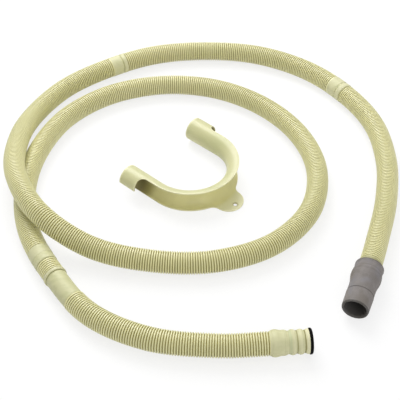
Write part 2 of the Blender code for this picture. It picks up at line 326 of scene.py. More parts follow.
def makeHolderPlastic(v):
    material, graph, shader = newMaterial("smooth holder plastic", v)
    place = graph.onObject()
    clouds = graph.noise(place, *v["clouds"])
    warp = graph.noise(place, *v["warp"])
    warped = graph.add("ShaderNodeVectorMath", {"operation": "ADD"}, {0: place, 1: warp})
    flow = graph.noise(graph.stretched(warped, v["flowStretch"]), *v["flow"])
    grain = graph.noise(place, *v["grain"])
    stains = graph.noise(place, *v["stains"])
    edge = graph.attribute("paintedEdgeLight")
    inner = graph.attribute("innerFace")
    paintedShade = graph.attribute("paintedShadeInside")
    base = graph.mix(graph.ease(clouds, *v["cloudRange"]) * v["tintStrength"], v["base"], v["tint"])
    base = graph.mix(graph.ease(flow, *v["flowRange"]) * v["flowStrength"], base, v["flowTint"])
    base = graph.mix(graph.ease(stains, *v["greenRange"]) * v["greenStrength"], base, v["green"])
    # The channel's inside is painted yellower and brighter, as bounce light, with soft stains, and the cut
    # edges and the lug are painted paler, as highlights
    stained = (1.0 - graph.ease(stains, *v["stainRange"])) * inner
    base = graph.mix(inner, base, v["inner"])
    base = graph.mix(stained * v["stainStrength"], base, v["stain"])
    base = graph.mix(edge * v["edgeStrength"], base, v["edge"])
    # Painted shade in the clips' insides and the hole
    cloudy = 1.0 - v["deepClouds"] + v["deepClouds"] * clouds
    base = graph.mix(graph.ease(paintedShade, *v["deepRange"]) * cloudy, base, v["paintedShade"])
    base = graph.mix(graph.ease(paintedShade, *v["deepestRange"]), base, v["darkestShade"])
    rough = v["roughness"] + (flow - 0.5) * v["flowRoughness"] + paintedShade * v["deepRoughness"]
    height = grain * v["grainHeight"] + flow * v["flowHeight"]
    normal = graph.bump(height, v["bumpDepth"], v["bumpStrength"])
    wireUp(graph, shader, base=base, roughness=rough, normal=normal)
    return material


# Grey rubber: matt, a little dusty, with fine pits
greyRubber = {
    "base": (0.222, 0.202, 0.190),
    "dust": (0.306, 0.280, 0.270),
    "warm": (0.200, 0.178, 0.157),
    "cool": (0.250, 0.238, 0.250),
    "pit": (0.150, 0.140, 0.130),
    "creaseShade": (0.090, 0.082, 0.074),
    # painted shade inside the bore
    "inside": (0.040, 0.040, 0.034),
    # scale, detail and roughness of each noise
    "clouds": (70.0, 5.0, 0.60),
    "specks": (420.0, 4.0, 0.70),
    "blotches": (45.0, 3.0, 0.50),
    "pitScale": 900.0,
    # where each mark starts and where it is full
    "cloudRange": (0.40, 0.66),
    "speckRange": (0.56, 0.76),
    "pitRange": (0.05, 0.30),
    "warmRange": (0.50, 0.64),
    "coolRange": (0.36, 0.48),
    "pitHeightRange": (0.00, 0.35),
    # how strong each mark is
    "cloudStrength": 0.60,
    "speckStrength": 0.60,
    "warmStrength": 0.80,
    "coolStrength": 0.70,
    "insideStrength": 0.90,
    "roughness": 0.68,
    "cloudRoughness": 0.25,
    "specular": 0.35,
    # what the bump is made of
    "pitHeight": 0.50,
    "speckHeight": 0.50,
    "cloudHeight": 0.60,
    "bumpDepth": 0.00014,
    "bumpStrength": 0.60,
    # share of the length, half width and strength of each dark line of painted shade
    "shadeLines": ((0.008, 0.026, 0.70), (0.153, 0.014, 0.20), (0.225, 0.030, 0.16), (0.664, 0.018, 0.70)),
    "creaseCore": 0.35,  # each crease is full over this share of its half width
}


def makeGreyRubber(v):
    material, graph, shader = newMaterial("matt grey rubber", v)
    place = graph.onObject()
    clouds = graph.noise(place, *v["clouds"])
    specks = graph.noise(place, *v["specks"])
    pits = graph.add("ShaderNodeTexVoronoi", {}, {"Vector": place, "Scale": v["pitScale"]})
    base = graph.mix(graph.ease(clouds, *v["cloudRange"]) * v["cloudStrength"], v["base"], v["dust"])
    base = graph.mix(graph.ease(specks, *v["speckRange"]) * v["speckStrength"], base, v["dust"])
    base = graph.mix(1.0 - graph.ease(pits, *v["pitRange"]), base, v["pit"])
    # Warmer and cooler blotches, and painted shade where the wall steps and at the collar's lip
    blotches = graph.noise(place, *v["blotches"])
    base = graph.mix(graph.ease(blotches, *v["warmRange"]) * v["warmStrength"], base, v["warm"])
    cooler = 1.0 - graph.ease(blotches, *v["coolRange"])
    base = graph.mix(cooler * v["coolStrength"], base, v["cool"])
    share = graph.shareAlong(place, collar, connectorWay, connector["length"])
    for spot, width, strength in v["shadeLines"]:
        shadedLine = 1.0 - graph.ease(abs(share - spot), v["creaseCore"] * width, width)
        base = graph.mix(shadedLine * strength, base, v["creaseShade"])
    # Painted shade inside the bore and on the mouth's end face
    base = graph.mix(graph.attribute("paintedBoreShade") * v["insideStrength"], base, v["inside"])
    rough = v["roughness"] + (clouds - 0.5) * v["cloudRoughness"]
    height = graph.ease(pits, *v["pitHeightRange"]) * v["pitHeight"]
    height = height + specks * v["speckHeight"] + clouds * v["cloudHeight"]
    normal = graph.bump(height, v["bumpDepth"], v["bumpStrength"])
    wireUp(graph, shader, base=base, roughness=rough, normal=normal)
    return material


# Black rubber of the seal: nearly black, with hardly any gloss
blackRubber = {
    "base": (0.002, 0.002, 0.002),
    "dust": (0.007, 0.007, 0.006),
    # scale, detail and roughness of each noise
    "clouds": (120.0, 4.0, 0.60),
    "specks": (700.0, 3.0, 0.70),
    "cloudRange": (0.50, 0.80),
    "speckRange": (0.56, 0.80),
    "cloudStrength": 0.25,
    "speckStrength": 0.50,
    "roughness": 0.60,
    "cloudRoughness": 0.30,
    "specular": 0.05,
    "bumpDepth": 0.0001,
    "bumpStrength": 0.50,
}


def makeBlackRubber(v):
    material, graph, shader = newMaterial("black seal rubber", v)
    place = graph.onObject()
    clouds = graph.noise(place, *v["clouds"])
    specks = graph.noise(place, *v["specks"])
    base = graph.mix(graph.ease(specks, *v["speckRange"]) * v["speckStrength"], v["base"], v["dust"])
    base = graph.mix(graph.ease(clouds, *v["cloudRange"]) * v["cloudStrength"], base, v["dust"])
    rough = v["roughness"] + (clouds - 0.5) * v["cloudRoughness"]
    normal = graph.bump(specks + clouds, v["bumpDepth"], v["bumpStrength"])
    wireUp(graph, shader, base=base, roughness=rough, normal=normal)
    return material


def heading(angle, rise=0.0):
    level = cos(rise)
    return Vector((level * cos(radians(angle)), level * sin(radians(angle)), sin(rise)))


def addPiece(name, mesh, material):
    mesh.name = name
    mesh.materials.clear()
    mesh.materials.append(material)
    item = bpy.data.objects.new(name, mesh)
    bpy.context.scene.collection.objects.link(item)
    return item


def storeMarks(mesh, name, values):
    mesh.attributes.new(name, "FLOAT", "POINT").data.foreach_set("value", values)


def flatten(item):
    # The evaluated shape becomes the piece's own mesh, and its modifiers go
    depsgraph = bpy.context.evaluated_depsgraph_get()
    mesh = bpy.data.meshes.new_from_object(item.evaluated_get(depsgraph))
    item.modifiers.clear()
    item.data = mesh
    return item


def finishPiece(item, node, smoothAngle):
    item.data.shade_smooth()
    item.data.set_sharp_from_angle(angle=radians(smoothAngle))
    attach(item, "root")
    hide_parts(node)
    print(item.name, "made,", sum(len(face.vertices) - 2 for face in item.data.polygons), "triangles")


# Rubber connector, which also says where the hose starts and which way it leaves
connector = {
    "place": (0.1653, -0.1379),
    "heading": -111.4,
    "length": 0.0555,
    "bodyRadius": 0.0153,
    "bodyPlace": 0.0145,
    "mouthRadius": 0.0135,
    "hoseEntry": 0.0180,
    "sides": 96,
    "roundSteps": 6,
    "smoothAngle": 50.0,
    "outOfRound": 0.003,
    # distance from the collar, radius and rounding of each corner
    "profile": (
        (0.0000, 0.0119, 0.0003), (0.0000, 0.0146, 0.0007), (0.0020, 0.0147, 0.0007),
        (0.0031, 0.0143, 0.0008), (0.0076, 0.0144, 0.0006), (0.0084, 0.0142, 0.0002),
        (0.0092, 0.0148, 0.0005), (0.0130, 0.0153, 0.0030), (0.0165, 0.0152, 0.0030),
        (0.0205, 0.0144, 0.0030), (0.0240, 0.0137, 0.0030), (0.0280, 0.0134, 0.0020),
        (0.0362, 0.0134, 0.0003), (0.0365, 0.0131, 0.0001), (0.0369, 0.0131, 0.0001),
        (0.0372, 0.0137, 0.0003), (0.0440, 0.0135, 0.0030), (0.0535, 0.0134, 0.0006),
        (0.0555, 0.0130, 0.0008), (0.0555, 0.0118, 0.0004), (0.0538, 0.0108, 0.0004),
        (0.0275, 0.0107, 0.0008), (0.0262, 0.0098, 0.0006), (0.0184, 0.0098, 0.0003),
        (0.0184, 0.0119, 0.0003),
    ),
    # painted shade: the bore's walls are painted dark, a little less so near the mouth and on its bevelled
    # edge
    "boreReach": 0.0110,
    "paleFrom": 0.0500,
    "bevelFrom": 0.0540,
    "boreDark": 1.00,
    "mouthDark": 0.76,
    "bevelDark": 0.72,
}
connectorTilt = atan2(
    connector["bodyRadius"] - connector["mouthRadius"], connector["length"] - connector["bodyPlace"]
)
connectorWay = heading(connector["heading"], -connectorTilt)
collarHeight = connector["bodyRadius"] + connector["bodyPlace"] * tan(connectorTilt)
collar = Vector((*connector["place"], collarHeight))

# Cuff moulded on the hose's machine end
cuff = {
    "place": (0.0615, -0.2290, 0.0130),
    "heading": 4.5,
    "length": 0.0367,
    # share of the length from its start, and radius
    "profile": (
        (0.000, 0.01140), (0.030, 0.01170), (0.075, 0.01270), (0.130, 0.01300), (0.190, 0.01290),
        (0.250, 0.01230), (0.300, 0.01205), (0.370, 0.01210), (0.410, 0.01190), (0.440, 0.01130),
        (0.465, 0.01090), (0.490, 0.01090), (0.520, 0.01140), (0.560, 0.01200), (0.600, 0.01205),
        (0.640, 0.01150), (0.670, 0.01090), (0.700, 0.01090), (0.730, 0.01140), (0.765, 0.01190),
        (0.800, 0.01200), (0.840, 0.01140), (0.870, 0.01070), (0.905, 0.01070), (0.935, 0.01140),
        (0.960, 0.01180), (1.000, 0.01180),
    ),
}
cuffWay = heading(cuff["heading"])
cuffStart = Vector(cuff["place"])

materials = {
    "hose": makeHosePlastic(hosePlastic),
    "holder": makeHolderPlastic(holderPlastic),
    "greyRubber": makeGreyRubber(greyRubber),
    "blackRubber": makeBlackRubber(blackRubber),
}
print("materials made:", len(materials))

# Hose: its route, its ribs, and what is moulded into it at a distance from the collar
hose = {
    "radius": 0.0116,
    "bore": 0.0099,
    "ribPitch": 0.00246,
    "grooveDepth": 0.00125,
    # how far each of a rib's four rings is moved on from its even place, in pitches
    "ringShifts": (0.0, 0.20, 0.13, 0.07),
    "sides": 24,
    "innerRings": 160,
    "smoothAngle": 60.0,
    "guide": 0.040,  # how far past its ends the smooth line is steered
    "cuffSlack": 0.0001,  # the cuff takes the points this little before its start
    # points of the centreline in the connector, between two points of the route, and in the cuff
    "entrySteps": 60,
    "spanSteps": 250,
    "cuffSteps": 160,
    "pathStep": 40,  # every so many points of the centreline
    "route": (
        (0.1775, -0.1020, 0.0145), (0.1955, -0.0405, 0.0122), (0.2045, 0.0235, 0.0117),
        (0.1980, 0.0880, 0.0116), (0.1700, 0.1450, 0.0116), (0.1270, 0.1915, 0.0116),
        (0.0700, 0.2215, 0.0116), (0.0070, 0.2300, 0.0116), (-0.0570, 0.2220, 0.0116),
        (-0.1145, 0.1945, 0.0116), (-0.1640, 0.1540, 0.0120), (-0.1960, 0.0990, 0.0141),
        (-0.2045, 0.0375, 0.0268), (-0.1975, -0.0230, 0.0350), (-0.1665, -0.0795, 0.0334),
        (-0.1135, -0.1115, 0.0175), (-0.0510, -0.1260, 0.0122), (0.0130, -0.1260, 0.0116),
        (0.0725, -0.1025, 0.0116), (0.1140, -0.0540, 0.0116), (0.1260, 0.0100, 0.0116),
        (0.1090, 0.0715, 0.0116), (0.0695, 0.1215, 0.0116), (0.0150, 0.1530, 0.0116),
        (-0.0480, 0.1600, 0.0116), (-0.1090, 0.1415, 0.0116), (-0.1565, 0.1000, 0.0116),
        (-0.1830, 0.0420, 0.0116), (-0.1905, -0.0215, 0.0116), (-0.1785, -0.0845, 0.0116),
        (-0.1485, -0.1410, 0.0116), (-0.1080, -0.1925, 0.0116), (-0.0510, -0.2220, 0.0116),
        (0.0120, -0.2305, 0.0119),
    ),
    # start, end, radius and paleness of each plain stretch, or below zero the strength of its painted
    # shade
    "plain": (
        (-0.0200, 0.0020, 0.0114, 0.00), (0.0020, 0.0043, 0.0112, -0.60),
        (0.2921, 0.2930, 0.0110, -0.60), (0.2930, 0.2990, 0.0118, 1.00),
        (0.2990, 0.3008, 0.0112, 0.30), (0.3008, 0.3137, 0.0118, 0.80),
        (0.5944, 0.5993, 0.0118, 1.00), (0.5993, 0.6012, 0.0111, -0.35),
        (0.6012, 0.6140, 0.0118, 0.70), (1.9305, 1.9432, 0.0118, 0.50),
        (1.9432, 1.9448, 0.0115, 0.10), (1.9448, 1.9513, 0.0118, 0.30),
        (1.9513, 1.9522, 0.0110, -0.60), (1.9676, 1.9710, 0.0121, 1.00),
        (1.9710, 1.9722, 0.0107, -0.90), (1.9722, 2.0066, 0.0110, 0.10),
    ),
}


# A smooth line through the points, which leaves them towards a guide at each end
def smoothLine(points, steps, guideIn, guideOut):
    knots = np.array([guideIn, *points, guideOut])
    t = (np.arange(steps) / steps)[:, None]
    line = []
    for before, start, end, after in zip(knots, knots[1:], knots[2:], knots[3:]):
        line.append(0.5 * (
            2.0 * start + (end - before) * t
            + (2.0 * before - 5.0 * start + 4.0 * end - after) * t ** 2
            + (3.0 * start - before - 3.0 * end + after) * t ** 3
        ))
    return np.vstack([*line, knots[-2:-1]])


def alongLine(line):
    return np.concatenate([[0.0], np.cumsum(np.linalg.norm(np.diff(line, axis=0), axis=1))])


def layHose(v):
    entry = collar + connectorWay * connector["hoseEntry"]
    route = [collar, *v["route"], cuffStart]
    guides = (collar + connectorWay * v["guide"], cuffStart + cuffWay * v["guide"])
    run = smoothLine(route, v["spanSteps"], *guides)
    tail = np.array(cuffStart + cuffWay * cuff["length"])
    into = np.linspace(np.array(entry), run[0], v["entrySteps"], endpoint=False)
    out = np.linspace(run[-1], tail, v["cuffSteps"])[1:]
    line = np.vstack([into, run, out])
    return line, alongLine(line) - connector["hoseEntry"], alongLine(run)[-1]


# The centreline, how far each of its points lies from the collar, and where the cuff starts
hoseLine, hosePlace, cuffAt = layHose(hose)
hoseLength = float(hosePlace[-1] - hosePlace[0])
print("hose centreline", round(hoseLength, 4), "m, cuff at", round(float(cuffAt), 4))


# Outer radius, whether there are ribs, and paleness or painted shade, at each point of the line
def hoseShape(v):
    radius = np.full(len(hosePlace), v["radius"])
    ribbed = np.ones(len(hosePlace))
    paleOrShade = np.zeros(len(hosePlace))
    for start, end, plainRadius, pale in v["plain"]:
        there = (hosePlace >= start) & (hosePlace <= end)
        radius[there] = plainRadius
        ribbed[there] = 0.0
        paleOrShade[there] = pale
    share, cuffRadius = np.array(cuff["profile"]).T
    there = hosePlace >= cuffAt - v["cuffSlack"]
    radius[there] = np.interp((hosePlace[there] - cuffAt) / cuff["length"], share, cuffRadius)
    ribbed[there] = 0.0
    return radius, ribbed, paleOrShade


# The hose's tree: rings along the line, four to a rib, pressed in at every groove
def ribbedHoseTree(ringShifts):
    tree = bpy.data.node_groups.new("ribbedHose", "GeometryNodeTree")
    inputs = (
        ("Line", "NodeSocketGeometry"), ("Ribs", "NodeSocketInt"),
        ("Rib Pitch", "NodeSocketFloat"), ("Groove Depth", "NodeSocketFloat"),
        ("Bore", "NodeSocketFloat"), ("Sides", "NodeSocketInt"),
        ("Inner Rings", "NodeSocketInt"), ("Plastic", "NodeSocketMaterial"),
    )
    for name, kind in inputs:
        tree.interface.new_socket(name, in_out="INPUT", socket_type=kind)
    tree.interface.new_socket("Hose", in_out="OUTPUT", socket_type="NodeSocketGeometry")
    graph = Graph(tree)
    given = tree.nodes.new("NodeGroupInput")
    line, ribs, pitch, depth, bore, sides, innerRings, plastic = [
        Wire(graph, given.outputs[name]) for name, kind in inputs
    ]
    curve = graph.add("GeometryNodeMeshToCurve", {}, {"Mesh": line})
    rings = graph.add("GeometryNodeResampleCurve", {}, {"Curve": curve, "Count": ribs * 4.0 + 1.0})
    index = graph.add("GeometryNodeInputIndex")
    phase = index % 4.0
    ribbed, girth = [
        graph.add("GeometryNodeInputNamedAttribute", {"data_type": "FLOAT"}, {"Name": name})
        for name in ("ribbed", "girth")
    ]
    # The first two rings of a rib are its crest, the other two its groove
    pressed = phase.maths("GREATER_THAN", phase, 1.5) * ribbed
    rings = graph.add(
        "GeometryNodeStoreNamedAttribute", {"data_type": "FLOAT", "domain": "POINT"},
        {"Geometry": rings, "Name": "grooveDepth", "Value": pressed},
    )
    # Crest rings spread apart and groove rings draw together along the line
    spread = graph.add("GeometryNodeIndexSwitch", {"data_type": "FLOAT"}, {0: phase})
    switch = spread.socket.node
    while len(switch.index_switch_items) < len(ringShifts):
        switch.index_switch_items.new()
    for slot, ringShift in enumerate(ringShifts, 1):
        switch.inputs[slot].default_value = ringShift
    shift = graph.add(
        "ShaderNodeVectorMath", {"operation": "SCALE"},
        {0: graph.add("GeometryNodeInputTangent"), "Scale": spread * pitch * ribbed},
    )
    rings = graph.add("GeometryNodeSetPosition", {}, {"Geometry": rings, "Offset": shift})
    rings = graph.add("GeometryNodeSetCurveNormal", {"mode": "Z_UP"}, {"Curve": rings})
    circle = graph.add("GeometryNodeCurvePrimitiveCircle", {}, {"Resolution": sides, "Radius": 1.0})
    circle = graph.add(
        "GeometryNodeStoreNamedAttribute", {"data_type": "FLOAT_VECTOR", "domain": "POINT"},
        {"Geometry": circle, "Name": "aroundHose", "Value": graph.add("GeometryNodeInputPosition")},
    )
    outside = graph.add(
        "GeometryNodeCurveToMesh", {},
        {"Curve": rings, "Profile Curve": circle, "Scale": girth - pressed * depth},
    )
    lining = graph.add("GeometryNodeResampleCurve", {}, {"Curve": curve, "Count": innerRings})
    lining = graph.add("GeometryNodeSetCurveNormal", {"mode": "Z_UP"}, {"Curve": lining})
    inside = graph.add(
        "GeometryNodeCurveToMesh", {}, {"Curve": lining, "Profile Curve": circle, "Scale": bore}
    )
    inside = graph.add("GeometryNodeFlipFaces", {}, {"Mesh": inside})
    joined = tree.nodes.new("GeometryNodeJoinGeometry")
    for part in (inside, outside):
        tree.links.new(part.socket, joined.inputs[0])
    made = graph.add("GeometryNodeRealizeInstances", {}, {"Geometry": Wire(graph, joined.outputs[0])})
    made = graph.add("GeometryNodeSetMaterial", {}, {"Geometry": made, "Material": plastic})
    tree.links.new(made.socket, tree.nodes.new("NodeGroupOutput").inputs[0])
    return tree


def runTree(item, tree, values):
    modifier = item.modifiers.new(tree.name, "NODES")
    modifier.node_group = tree
    for socket in tree.interface.items_tree:
        if socket.name in values:
            modifier[socket.identifier] = values[socket.name]
    return flatten(item)


# The open ends of the outer and inner walls are joined by a rim
def closeEnds(mesh):
    bm = bmesh.new()
    bm.from_mesh(mesh)
    rims = [edge for edge in bm.edges if edge.is_boundary]
    middle = Vector(0.5 * (hoseLine[0] + hoseLine[-1]))
    way = Vector(hoseLine[-1] - hoseLine[0])
    for sign in (-1.0, 1.0):
        end = [edge for edge in rims if sign * way.dot(edge.verts[0].co - middle) > 0.0]
        bmesh.ops.bridge_loops(bm, edges=end)
    bmesh.ops.recalc_face_normals(bm, faces=bm.faces)
    bm.to_mesh(mesh)
    bm.free()


def makeHose(v):
    radius, ribbed, paleOrShade = hoseShape(v)
    mesh = bpy.data.meshes.new("hoseLine")
    mesh.from_pydata(hoseLine.tolist(), [(n, n + 1) for n in range(len(hoseLine) - 1)], [])
    storeMarks(mesh, "girth", radius)
    storeMarks(mesh, "ribbed", ribbed)
    storeMarks(mesh, "paleOrShade", paleOrShade)
    item = addPiece("corrugatedHose", mesh, materials["hose"])
    runTree(item, ribbedHoseTree(v["ringShifts"]), {
        "Ribs": round(hoseLength / v["ribPitch"]),
        "Rib Pitch": v["ribPitch"],
        "Groove Depth": v["grooveDepth"],
        "Bore": v["bore"],
        "Sides": v["sides"],
        "Inner Rings": v["innerRings"],
        "Plastic": materials["hose"],
    })
    closeEnds(item.data)
    finishPiece(item, "drain_hose", v["smoothAngle"])
    return item


hosePiece = makeHose(hose)


# The points of a closed profile of (distance, radius, rounding), with its corners rounded
def roundedProfile(profile, steps):
    points = []
    count = len(profile)
    for n, (x, y, rounding) in enumerate(profile):
        here = Vector((x, y))
        before = Vector(profile[n - 1][:2]) - here
        after = Vector(profile[(n + 1) % count][:2]) - here
        # No rounding takes more than this share of a side, so that two never meet
        reach = min(rounding, 0.45 * before.length, 0.45 * after.length)
        if reach < 0.00002:
            points.append(here)
            continue
        start = here + before.normalized() * reach
        end = here + after.normalized() * reach
        for k in range(steps + 1):
            t = k / steps
            points.append(start * (1.0 - t) ** 2 + here * 2.0 * t * (1.0 - t) + end * t ** 2)
    return points


# The profile turned about an axis through place, and the rows of points it was turned from
def makeTurned(name, v, place, way, material, wobble=None):
    rows = roundedProfile(v["profile"], v["roundSteps"])
    turn = way.to_track_quat("Z", "Y").to_matrix()
    sides, count = v["sides"], len(rows)
    verts, faces = [], []
    for n in range(sides):
        angle = 2.0 * pi * n / sides
        for along, radius in rows:
            r = radius * (1.0 + (wobble(angle, along) if wobble else 0.0))
            verts.append(tuple(place + turn @ Vector((r * cos(angle), r * sin(angle), along))))
        here, following = n * count, (n + 1) % sides * count
        for k in range(count):
            nextRow = (k + 1) % count
            faces.append((here + k, here + nextRow, following + nextRow, following + k))
    mesh = bpy.data.meshes.new(name)
    mesh.from_pydata(verts, [], faces)
    bm = bmesh.new()
    bm.from_mesh(mesh)
    bmesh.ops.recalc_face_normals(bm, faces=bm.faces)
    bm.to_mesh(mesh)
    bm.free()
    return addPiece(name, mesh, material), rows


def makeConnector(v):
    # Soft rubber is a little out of round
    def wobble(angle, along):
        return v["outOfRound"] * sin(2.0 * angle + 0.6) * sin(3.0 * along / v["length"])

    # Painted shade on the walls of the mouth's bore, a little lighter near the mouth and on its bevelled
    # edge
    def darkness(along, radius):
        if radius < v["boreReach"]:
            return v["boreDark"] if along < v["paleFrom"] else v["mouthDark"]
        return v["bevelDark"] if along > v["bevelFrom"] else 0.0

    item, rows = makeTurned("rubberConnector", v, collar, connectorWay, materials["greyRubber"], wobble)
    marks = [darkness(along, radius) for along, radius in rows] * v["sides"]
    storeMarks(item.data, "paintedBoreShade", marks)
    finishPiece(item, "rubber_connector", v["smoothAngle"])


makeConnector(connector)


# Seal ring on the cuff: a rounded flange with a spigot inside the cuff
sealRing = {
    "sides": 96,
    "roundSteps": 5,
    "smoothAngle": 50.0,
    # distance from the cuff's end, radius and rounding of each corner
    "profile": (
        (-0.0070, 0.0083, 0.0003), (-0.0070, 0.0094, 0.0004), (0.0003, 0.0094, 0.0001),
        (0.0003, 0.0122, 0.0006), (0.0010, 0.0124, 0.0005), (0.0022, 0.0124, 0.0006),
        (0.0031, 0.0118, 0.0008), (0.0031, 0.0090, 0.0005), (0.0024, 0.0083, 0.0006),
    ),
}


def makeSealRing(v):
    place = cuffStart + cuffWay * cuff["length"]
    item, rows = makeTurned("sealRing", v, place, cuffWay, materials["blackRubber"])
    finishPiece(item, "seal_ring", v["smoothAngle"])
    return item


ringPiece = makeSealRing(sealRing)


# Hose holder: a channel round a U with a clip at each tip and a screw lug at the bend
holder = {
    "place": (-0.0133, 0.0088),
    "turn": -41.6,
    "bendRadius": 0.0534,
    "armLength": 0.0428,
    "radius": 0.0133,
    "wall": 0.0013,
    "rimOffset": 0.0005,  # how far out of the channel's axis its top lip lies
    "lowLip": -0.0006,  # and its bottom lip
    "clipLength": 0.0220,
    "clipCorner": 0.0083,
    "clipMouthHeight": 0.0130,  # how high the clip's free edge stands
    "lugRadius": 0.0165,
    "lugOffset": 0.0024,
    "lugFillet": 0.0100,
    "lugHalfAngle": 24.93,
    "lugHolePlace": 0.0120,
    "lugHoleRadius": 0.0021,
    "sinkWidth": 0.0006,
    "sinkDepth": 0.0006,
    "holeSides": 40,
    "edgeRound": 0.0005,
    "edgeAngle": 50.0,
    "smoothAngle": 40.0,
    # columns of faces along the clip, its corner, the rest of an arm, and the bend on each
    # side of the lug
    "clipColumns": 10,
    "cornerColumns": 12,
    "armColumns": 10,
    "bendColumns": 24,
    "lugColumns": 60,
    # rows of faces round the channel, over the clip's mouth, and out along the lug
    "rows": 34,
    "clipRows": 10,
    "lugRows": 8,
    # painted shade in the clip: how far inside its end it starts to fade, and over what length
    "deepStart": 0.0090,
    "deepReach": 0.0240,
    # strengths and reaches of the other marks that the plastic reads
    "innerMark": 0.80,
    "holeShade": 0.40,
    "lugLight": 0.65,
    "lugFade": 0.0040,
    "holeRim": 0.0009,
    "openingRim": 0.0010,
}


# How far out of the bend's centre the lug reaches at an angle, or the lip where there is no lug
def lugReach(v, angle):
    lip = v["bendRadius"] + v["lowLip"]
    place = v["bendRadius"] + v["lugOffset"]
    fromBend, fromLug = lip + v["lugFillet"], v["lugRadius"] + v["lugFillet"]
    filletX = (fromBend ** 2 - fromLug ** 2 + place ** 2) / (2.0 * place)
    filletY = sqrt(fromBend ** 2 - filletX ** 2)
    size = abs(angle)
    if size >= atan2(filletY, filletX):
        return lip
    lugAngle = atan2(filletY, filletX - place)
    if size <= atan2(v["lugRadius"] * sin(lugAngle), place + v["lugRadius"] * cos(lugAngle)):
        return place * cos(size) + sqrt(v["lugRadius"] ** 2 - (place * sin(size)) ** 2)
    middle = sqrt(filletX ** 2 + filletY ** 2)
    apart = atan2(filletY, filletX) - size
    return middle * cos(apart) - sqrt(max(0.0, v["lugFillet"] ** 2 - (middle * sin(apart)) ** 2))


# Columns round the U: place on the path, way out of the U, how far out the top lip lies (None on
# the closed clip), and the lug's reach beyond the bottom lip
def holderColumns(v):
    tip, clipEnd = -v["armLength"], v["clipLength"] - v["armLength"]
    corner, far = v["clipCorner"], v["rimOffset"]
    clips, corners, rest = v["clipColumns"], v["cornerColumns"], v["armColumns"]
    arm = [(tip + (clipEnd - tip) * n / clips, None) for n in range(clips + 1)]
    for n in range(1, corners + 1):
        angle = 0.5 * pi * n / corners
        arm.append((clipEnd + corner * (1.0 - cos(angle)), far + corner * (1.0 - sin(angle))))
    arm += [(clipEnd + corner + (-clipEnd - corner) * n / rest, far) for n in range(1, rest)]
    near = [((x, -v["bendRadius"]), (0.0, -1.0), lip, 0.0) for x, lip in arm]
    lugHalf, lugs, bends = v["lugHalfAngle"], v["lugColumns"], v["bendColumns"]
    angles = [-90.0 + (90.0 - lugHalf) * n / bends for n in range(bends)]
    angles += [-lugHalf + 2.0 * lugHalf * n / lugs for n in range(lugs)]
    angles += [lugHalf + (90.0 - lugHalf) * n / bends for n in range(bends + 1)]
    bend = []
    for angle in map(radians, angles):
        way = (cos(angle), sin(angle))
        beyond = lugReach(v, angle) - v["bendRadius"] - v["lowLip"]
        bend.append(((v["bendRadius"] * way[0], v["bendRadius"] * way[1]), way, far, beyond))
    return near + bend + [((x, v["bendRadius"]), (0.0, 1.0), lip, 0.0) for x, lip in reversed(arm)]


# The middle of the channel's wall: an arc at every column, run on by the lug
def channelMesh(v):
    middle = v["radius"] - 0.5 * v["wall"]
    bottom = 2.0 * pi - acos(v["lowLip"] / middle)
    clipTop = acos(min(1.0, (v["rimOffset"] + v["clipCorner"]) / middle))
    clipLow = -acos(sqrt(1.0 - ((v["radius"] - v["clipMouthHeight"]) / middle) ** 2))
    verts, faces, columns = [], [], []
    for (x, y), (outX, outY), lip, beyond in holderColumns(v):
        top = clipTop if lip is None else acos(lip / middle)
        angles = [top + (bottom - top) * k / v["rows"] for k in range(v["rows"] + 1)]
        if lip is None:
            clips = v["clipRows"]
            angles = [clipLow + (clipTop - clipLow) * k / clips for k in range(clips)] + angles
        spots = [(middle * cos(angle), v["radius"] + middle * sin(angle)) for angle in angles]
        reach, height = spots[-1]
        spots += [(reach + beyond * k / v["lugRows"], height) for k in range(1, v["lugRows"] + 1)]
        columns.append([len(verts) + k for k in range(len(spots))])
        verts += [(x + outX * reach, y + outY * reach, height) for reach, height in spots]
    for here, following in zip(columns, columns[1:]):
        count = min(len(here), len(following))
        here, following = here[-count:], following[-count:]
        for k in range(count - 1):
            faces.append((here[k], following[k], following[k + 1], here[k + 1]))
    mesh = bpy.data.meshes.new("channel")
    mesh.from_pydata(verts, [], faces)
    bm = bmesh.new()
    bm.from_mesh(mesh)
    bmesh.ops.remove_doubles(bm, verts=bm.verts, dist=0.00001)
    bmesh.ops.dissolve_degenerate(bm, edges=bm.edges, dist=0.00001)
    bm.to_mesh(mesh)
    bm.free()
    return mesh


# Screw hole with a small countersink, as a cutter
def holeCutter(v):
    radius, top, sides = v["lugHoleRadius"], v["wall"] + 0.0001, v["holeSides"]
    wide = radius + v["sinkWidth"]
    rows = ((radius, -0.001), (radius, top - v["sinkDepth"]), (wide, top), (wide + 0.001, top + 0.001))
    centre = v["bendRadius"] + v["lugHolePlace"]
    bm = bmesh.new()
    rings = []
    for r, z in rows:
        angles = [2.0 * pi * n / sides for n in range(sides)]
        rings.append([bm.verts.new((centre + r * cos(angle), r * sin(angle), z)) for angle in angles])
    for low, high in zip(rings, rings[1:]):
        for n in range(sides):
            bm.faces.new((low[n], low[(n + 1) % sides], high[(n + 1) % sides], high[n]))
    bm.faces.new(rings[0])
    bm.faces.new(rings[-1])
    bmesh.ops.recalc_face_normals(bm, faces=bm.faces)
    mesh = bpy.data.meshes.new("lugHole")
    bm.to_mesh(mesh)
    bm.free()
    return addPiece("lugHole", mesh, materials["holder"])


def addRounding(item, width, angle):
    bevel = item.modifiers.new("rounding", "BEVEL")
    bevel.width = width
    bevel.segments = 3
    bevel.limit_method = "ANGLE"
    bevel.angle_limit = radians(angle)
